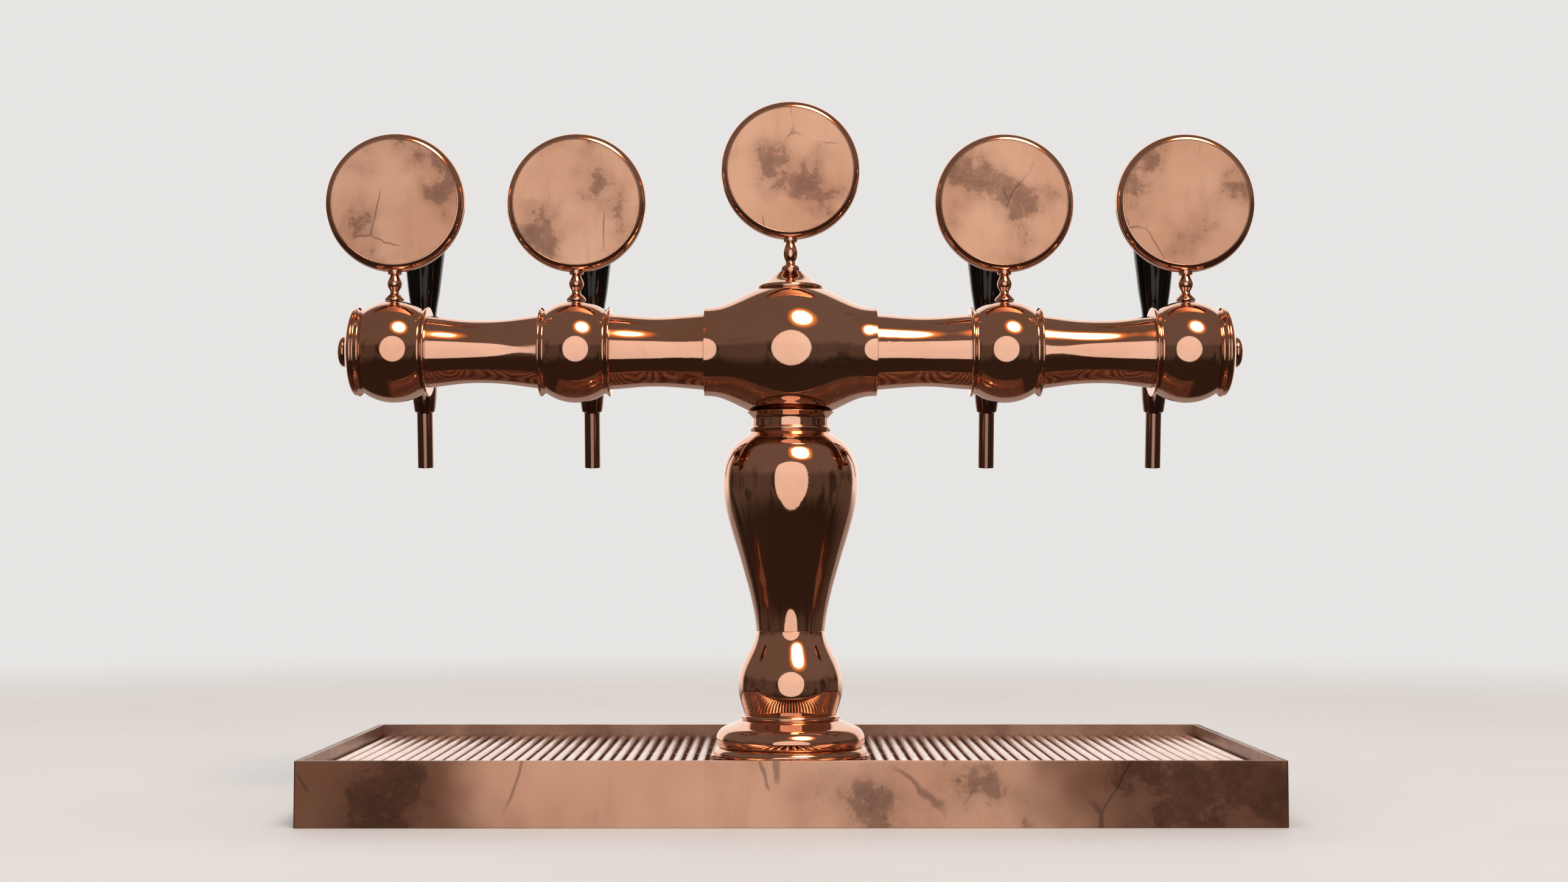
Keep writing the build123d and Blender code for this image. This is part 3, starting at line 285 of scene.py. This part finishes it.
def rubbery(name, dark, light, rough_low, rough_high):
    """Rubber or soft plastic with a fine matte grain."""
    t = Finish(name)
    grain = t.noise(700.0, 3.0, 0.6)
    cloud = t.noise(35.0, 4.0, 0.55)
    t.put(t.shader.inputs["Base Color"], t.mix(t.band(cloud, 0.35, 0.65), dark, light))
    t.put(t.shader.inputs["Roughness"], t.band(grain, 0.3, 0.7, rough_low, rough_high))
    t.put(t.shader.inputs["Normal"], t.bump(grain, 0.00006, 0.4, t.rounded(0.0004)))
    return t.material


copper = polished_copper("polished_copper", 1.0)
# Painted shade: the spouts, shanks and coupling nuts take a copy of the copper darkened to 0.42 of its
# colour.
shaded_spout_copper = polished_copper("shaded_spout_copper", 4.0, 0.05, 0.42)
finishes = {
    "polished_copper": copper,
    "lever_metal": polished_copper("lever_copper", 6.0, 0.02),
    "aged_copper": stained_copper("tray_patina", 1.0, 11.0, 0.0008, (0.17, 0.25)),
    "medallion_face": stained_copper("medallion_patina", 2.0, 20.0),
    "grille_copper": satin_metal("grille_rods", rgb(226, 192, 176), rgb(244, 216, 202),
                                 0.14, 0.26),
    "tray_steel": satin_metal("pan_steel", rgb(150, 118, 102), rgb(180, 148, 130),
                              0.28, 0.42, ACROSS),
    "inner_brass": satin_metal("machined_brass", rgb(176, 140, 88), rgb(206, 172, 116),
                               0.24, 0.38, UPRIGHT),
    "fastener_steel": satin_metal("fastener_steel", rgb(140, 140, 142), rgb(176, 176, 178),
                                  0.25, 0.4),
    "handle_black": gloss_black("handle_lacquer"),
    "gasket_rubber": rubbery("gasket_rubber", rgb(22, 22, 22), rgb(34, 33, 32), 0.6, 0.75),
    "line_hose": rubbery("line_hose", rgb(196, 194, 186), rgb(214, 212, 204), 0.35, 0.5),
}
slot_of = {s["node"]: s["material_slot"] for s in frame["record"]["subparts"]}
own_finish = {"tap_spouts": shaded_spout_copper, "tap_shanks": shaded_spout_copper, "coupling_nuts": shaded_spout_copper}
for node_name, piece in nodes.items():
    material = own_finish.get(node_name, finishes[slot_of[node_name]])
    piece.data.materials.clear()
    piece.data.materials.append(material)

# ---------------------------------------------------------------- floor, light and camera
PALE = (0.80, 0.785, 0.77)
FLOOR_REACH = 2.8
FADE_START = 1.0
FADE_END = 2.6


def pale_floor():
    """A wide floor that fades into the pale backdrop, so that no horizon shows."""
    mesh = bpy.data.meshes.new("floor")
    corners = [(-1, -1), (1, -1), (1, 1), (-1, 1)]
    mesh.from_pydata([(x * FLOOR_REACH, y * FLOOR_REACH, 0) for x, y in corners], [], [(0, 1, 2, 3)])
    t = Finish("pale_floor")
    cloud = t.band(t.noise(3.0), 0.3, 0.7)
    t.put(t.shader.inputs["Base Color"], t.mix(cloud, (0.66, 0.70, 0.75, 1), (0.68, 0.72, 0.77, 1)))
    t.shader.inputs["Roughness"].default_value = 0.7
    t.shader.inputs["Specular IOR Level"].default_value = 0.2
    length = t.nodes.new("ShaderNodeVectorMath")
    length.operation = "LENGTH"
    t.links.new(t.place, length.inputs[0])
    t.put(t.shader.inputs["Alpha"], t.band(length.outputs["Value"], FADE_START, FADE_END, 1.0, 0.0))
    mesh.materials.append(t.material)
    floor = bpy.data.objects.new("floor", mesh)
    floor.visible_glossy = False  # the copper mirrors the room below, not the floor
    bpy.context.scene.collection.objects.link(floor)


def soft_light(name, place, target, size, power, colour=(1, 1, 1), shape="RECTANGLE", mirrored=True):
    data = bpy.data.lights.new(name, "AREA")
    data.shape = shape
    data.size = size[0]
    if shape == "RECTANGLE":
        data.size_y = size[1]
    data.energy = power
    data.color = colour
    light = bpy.data.objects.new(name, data)
    light.location = place
    light.rotation_euler = (Vector(target) - Vector(place)).to_track_quat("-Z", "Y").to_euler()
    light.visible_camera = False
    light.visible_glossy = mirrored
    bpy.context.scene.collection.objects.link(light)


LAMP_AZIMUTH = 24.0
LAMP_ELEVATION = 52.5
LAMP_CORE = (8.0, 14.0)  # degrees from the lamp's middle where its core is full, and where it ends
LAMP_HALO = (11.0, 20.0)


def sky_point(azimuth, elevation):
    """A direction by its degrees to the right of the front, and above the horizon."""
    a = math.radians(azimuth)
    e = math.radians(elevation)
    return (math.sin(a) * math.cos(e), -math.cos(a) * math.cos(e), math.sin(e))


def within(t, toward, angles):
    """1 inside the first angle from a direction, falling to 0 at the second."""
    full, end = angles
    return t.band(toward, math.cos(math.radians(end)), math.cos(math.radians(full)))


def studio_world():
    """What the copper mirrors: a dim warm room in front, a pale space behind, one warm lamp.

    The camera itself sees a plain pale backdrop.
    """
    world = bpy.data.worlds.new("studio")
    world.use_nodes = True
    bpy.context.scene.world = world
    t = Tree(world.node_tree, "Generated")
    x, y, z = t.split(t.place)
    colour = t.mix(t.band(z, -0.45, -0.12), (0.035, 0.022, 0.016, 1), (0.10, 0.077, 0.062, 1))
    colour = t.mix(t.band(z, 0.10, 0.26), colour, (0.17, 0.13, 0.108, 1))
    shapes = t.noise(2.6, 3.0, 0.55, 0.4, t.stretched((1.5, 1.5, 0.8)))
    patches = t.noise(1.5, 2.0, 0.5, 0.0, t.stretched((1.0, 1.0, 1.6), (4.0, 1.0, 2.0)))
    variety = t.math("MULTIPLY", t.band(shapes, 0.36, 0.62, 0.45, 1.6),
                     t.band(patches, 0.36, 0.62, 0.6, 1.4))
    near_horizon = t.band(t.math("ABSOLUTE", t.math("ADD", z, 0.08)), 0.15, 0.5, 1.0, 0.0)
    detail = t.mix(near_horizon, (1, 1, 1, 1), t.mix(variety, (0, 0, 0, 1), (1, 1, 1, 1)))
    colour = t.mix(1.0, colour, detail, "MULTIPLY")
    behind = t.mix(t.band(z, -0.16, 0.02), (0.34, 0.31, 0.29, 1), (1.05, 1.03, 1.0, 1))
    wavering = t.math("ADD", y, t.math("MULTIPLY", shapes, 0.06))
    colour = t.mix(t.band(wavering, 0.62, 0.74), colour, behind)
    toward_lamp = t.along(t.place, sky_point(LAMP_AZIMUTH, LAMP_ELEVATION))
    colour = t.mix(within(t, toward_lamp, LAMP_HALO), colour, (1.3, 0.50, 0.14, 1))
    colour = t.mix(within(t, toward_lamp, LAMP_CORE), colour, (11.0, 8.2, 5.4, 1))
    seen = t.nodes.new("ShaderNodeLightPath").outputs["Is Camera Ray"]
    colour = t.mix(seen, colour, (*PALE, 1))
    t.put(t.nodes["Background"].inputs["Color"], colour)


pale_floor()
studio_world()
soft_light("front_disc", (0.04, -2.9, 0.45), (0.0, -0.05, 0.38), (3.1, 3.1), 22.0,
           (1.0, 0.98, 0.96), "DISK")
soft_light("overhead_fill", (0.0, -0.2, 3.0), (0.0, -0.05, 0.3), (3.0, 3.0), 60.0, mirrored=False)
bpy.context.scene.view_settings.view_transform = "Standard"

camera_data = bpy.data.cameras.new("camera")
camera_data.sensor_width = 36.0
camera_data.lens = 50.0
camera = bpy.data.objects.new("camera", camera_data)
camera.location = (-0.0104, -1.707, 0.193)
camera.rotation_euler = (math.radians(92.95), 0.0, math.radians(-0.19))
bpy.context.scene.collection.objects.link(camera)
bpy.context.scene.camera = camera
